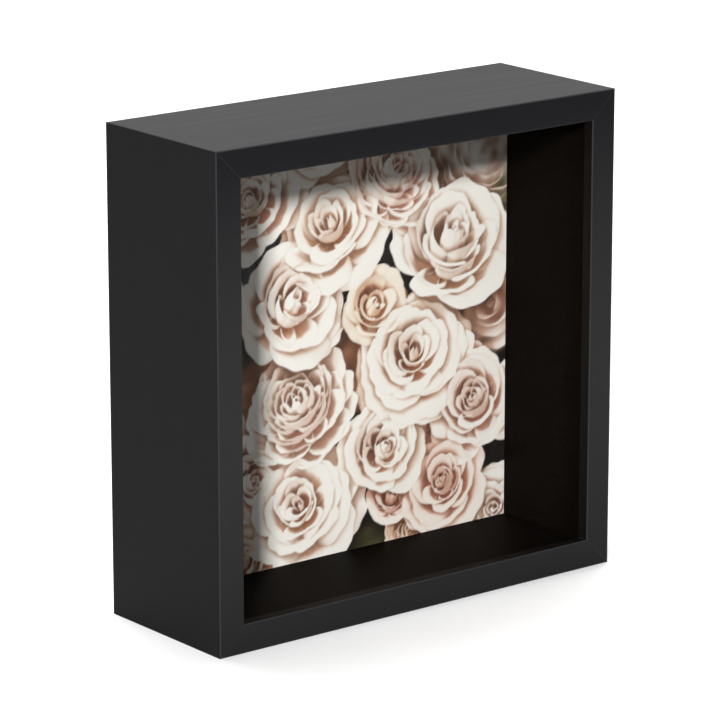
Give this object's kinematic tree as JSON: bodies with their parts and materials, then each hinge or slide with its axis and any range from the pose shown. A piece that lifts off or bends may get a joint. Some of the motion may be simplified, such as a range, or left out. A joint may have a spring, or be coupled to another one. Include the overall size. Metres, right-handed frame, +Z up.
{
  "type": "shadow box",
  "caption": "Deep square display box with a mitred frame, glazed front, picture set well back, rear-loading board held by fold-down tabs, and a wall hanger.",
  "frame": {"origin": "middle of the box's underside: on the surface it stands on, midway along its width and the frame's depth", "axes": "+X to the right seen from the front, +Y from the front face to the back, +Z up"},
  "size_m": [0.222, 0.0828, 0.222],
  "materials": {
    "frame": "black satin paint on wood fibre moulding",
    "spacer": "matt warm black stain",
    "glass": "clear float glass",
    "picture": "matt print of pale roses",
    "backing": "bare brown fibreboard",
    "steel": "bright zinc plate",
    "rubber": "matt black"
  },
  "bodies": {
    "frame": {"rail_bottom": "frame", "rail_left": "frame", "rail_top": "frame", "rail_right": "frame", "glass": "glass", "spacer_bottom": "spacer", "spacer_left": "spacer", "spacer_top": "spacer", "spacer_right": "spacer", "tab_tang_bottom_1": "steel", "tab_tang_bottom_2": "steel", "tab_tang_left_1": "steel", "tab_tang_left_2": "steel", "tab_tang_top_1": "steel", "tab_tang_top_2": "steel", "tab_tang_right_1": "steel", "tab_tang_right_2": "steel", "v_nail_bottom_left_1": "steel", "v_nail_bottom_left_2": "steel", "v_nail_top_left_1": "steel", "v_nail_top_left_2": "steel", "v_nail_top_right_1": "steel", "v_nail_top_right_2": "steel", "v_nail_bottom_right_1": "steel", "v_nail_bottom_right_2": "steel", "sawtooth_hanger": "steel", "hanger_nail_left": "steel", "hanger_nail_right": "steel", "bumper_left": "rubber", "bumper_right": "rubber"},
    "back": {"backing_board": "backing", "picture": "picture"},
    "tab_bottom_1": {"tab_leaf_bottom_1": "steel"},
    "tab_bottom_2": {"tab_leaf_bottom_2": "steel"},
    "tab_left_1": {"tab_leaf_left_1": "steel"},
    "tab_left_2": {"tab_leaf_left_2": "steel"},
    "tab_top_1": {"tab_leaf_top_1": "steel"},
    "tab_top_2": {"tab_leaf_top_2": "steel"},
    "tab_right_1": {"tab_leaf_right_1": "steel"},
    "tab_right_2": {"tab_leaf_right_2": "steel"}
  },
  "joints": [
    {"name": "back_out", "type": "slide", "parent": "frame", "child": "back", "axis": [0, 1, 0], "range_m": [0, 0.06]},
    {"name": "bend_tab_bottom_1", "type": "hinge", "parent": "frame", "child": "tab_bottom_1", "pos_m": [-0.055, 0.02635, 0.00845], "axis": [-1, 0, 0], "range_deg": [-90, 0]},
    {"name": "bend_tab_bottom_2", "type": "hinge", "parent": "frame", "child": "tab_bottom_2", "pos_m": [0.055, 0.02635, 0.00845], "axis": [-1, 0, 0], "range_deg": [-90, 0]},
    {"name": "bend_tab_left_1", "type": "hinge", "parent": "frame", "child": "tab_left_1", "pos_m": [-0.10255, 0.02635, 0.166], "axis": [0, 0, 1], "range_deg": [-90, 0]},
    {"name": "bend_tab_left_2", "type": "hinge", "parent": "frame", "child": "tab_left_2", "pos_m": [-0.10255, 0.02635, 0.056], "axis": [0, 0, 1], "range_deg": [-90, 0]},
    {"name": "bend_tab_top_1", "type": "hinge", "parent": "frame", "child": "tab_top_1", "pos_m": [0.055, 0.02635, 0.21355], "axis": [1, 0, 0], "range_deg": [-90, 0]},
    {"name": "bend_tab_top_2", "type": "hinge", "parent": "frame", "child": "tab_top_2", "pos_m": [-0.055, 0.02635, 0.21355], "axis": [1, 0, 0], "range_deg": [-90, 0]},
    {"name": "bend_tab_right_1", "type": "hinge", "parent": "frame", "child": "tab_right_1", "pos_m": [0.10255, 0.02635, 0.056], "axis": [0, 0, -1], "range_deg": [-90, 0]},
    {"name": "bend_tab_right_2", "type": "hinge", "parent": "frame", "child": "tab_right_2", "pos_m": [0.10255, 0.02635, 0.166], "axis": [0, 0, -1], "range_deg": [-90, 0]}
  ]
}
